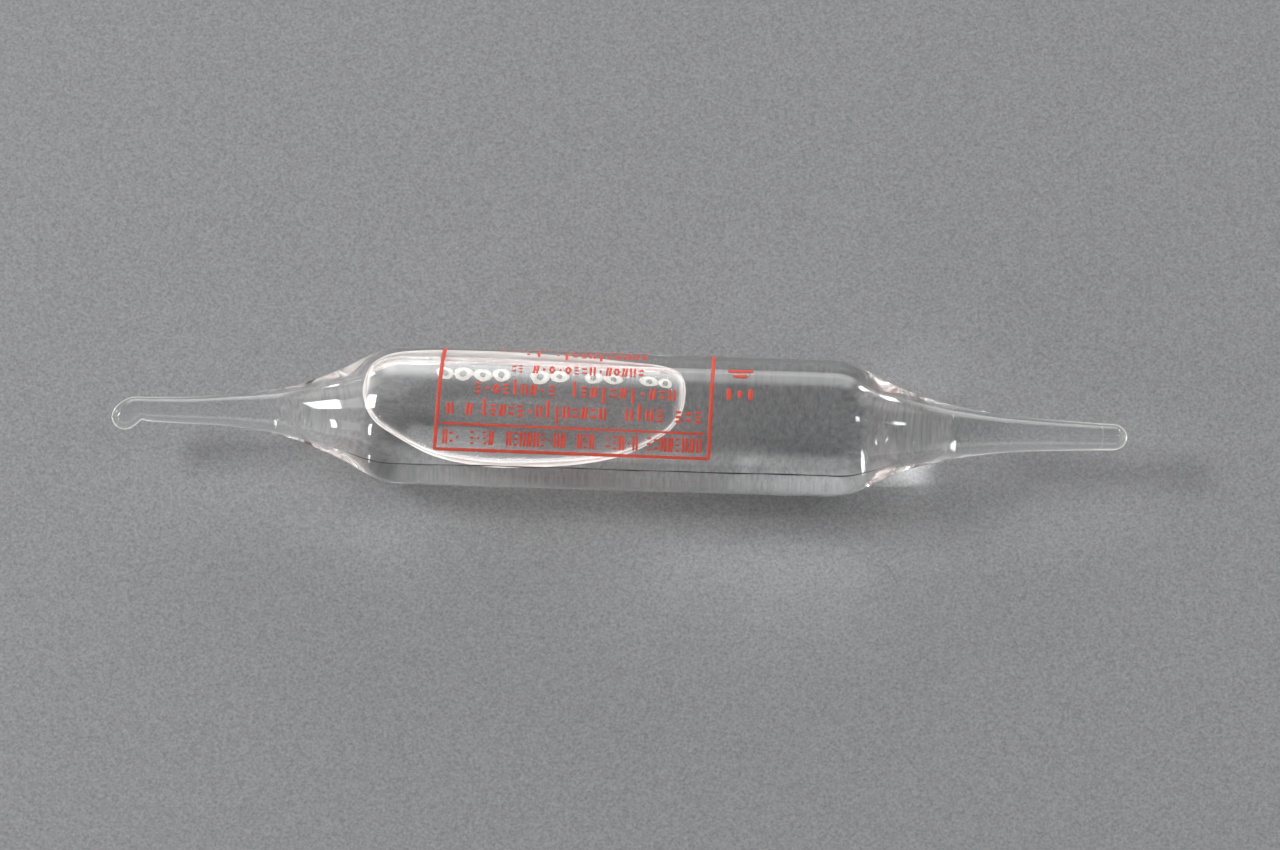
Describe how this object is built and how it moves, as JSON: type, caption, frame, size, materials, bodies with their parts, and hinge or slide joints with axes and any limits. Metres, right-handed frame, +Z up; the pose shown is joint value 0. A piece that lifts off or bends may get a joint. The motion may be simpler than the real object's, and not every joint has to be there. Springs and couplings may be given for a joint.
{
  "type": "double-pointed glass ampoule",
  "caption": "Sealed double-pointed clear glass ampoule of liquid with a travelling gas bubble, a red enamel print frame and two points that snap off.",
  "frame": {"origin": "on the barrel axis at mid overall length, which is the centre of the bounding box", "axes": "+X along the ampoule's axis towards the plain rounded point, +Z up with the ampoule lying on its barrel and the bubble under the top wall, -Y the side the print faces besides up"},
  "size_m": [0.0724, 0.0098, 0.0098],
  "materials": {
    "clear_glass": "polished",
    "clear_liquid": "polished",
    "gas": "polished",
    "red_enamel": "satin",
    "white_paint": "matte"
  },
  "bodies": {
    "ampoule": {"glass_barrel": "clear_glass", "compound_word_1": "red_enamel", "compound_word_2": "red_enamel", "dose_word_1": "red_enamel", "dose_word_2": "red_enamel", "dose_word_3": "red_enamel", "dose_word_4": "red_enamel", "dose_word_5": "red_enamel", "enamel_frame": "red_enamel", "enamel_rule": "red_enamel", "first_paint_loops": "white_paint", "fourth_paint_loops": "white_paint", "heading_word_1": "red_enamel", "heading_word_2": "red_enamel", "paint_dot_1": "white_paint", "paint_dot_2": "white_paint", "paint_dot_3": "white_paint", "second_paint_loops": "white_paint", "side_mark_1": "red_enamel", "side_mark_2": "red_enamel", "substance_word_1": "red_enamel", "substance_word_2": "red_enamel", "third_paint_loops": "white_paint", "title_word_1": "red_enamel", "title_word_2": "red_enamel", "warning_word_1": "red_enamel", "warning_word_2": "red_enamel", "warning_word_3": "red_enamel", "warning_word_4": "red_enamel", "warning_word_5": "red_enamel", "warning_word_6": "red_enamel"},
    "liquid": {"liquid_charge": "clear_liquid"},
    "bubble": {"gas_bubble": "gas"},
    "left_point": {"left_break_off_point": "clear_glass", "left_point_liquid": "clear_liquid"},
    "right_point": {"right_break_off_point": "clear_glass", "right_point_liquid": "clear_liquid"}
  },
  "joints": [
    {"name": "contents_roll", "type": "hinge", "parent": "ampoule", "child": "liquid", "pos_m": [0, 0, 0], "axis": [1, 0, 0], "continuous": true},
    {"name": "bubble_travel", "type": "slide", "parent": "liquid", "child": "bubble", "axis": [1, 0, 0], "range_m": [0, 0.0104], "deforming": ["liquid_charge"]},
    {"name": "left_point_snap", "type": "slide", "parent": "ampoule", "child": "left_point", "axis": [-1, 0, 0], "range_m": [0, 0.015]},
    {"name": "right_point_snap", "type": "slide", "parent": "ampoule", "child": "right_point", "axis": [1, 0, 0], "range_m": [0, 0.015]}
  ]
}
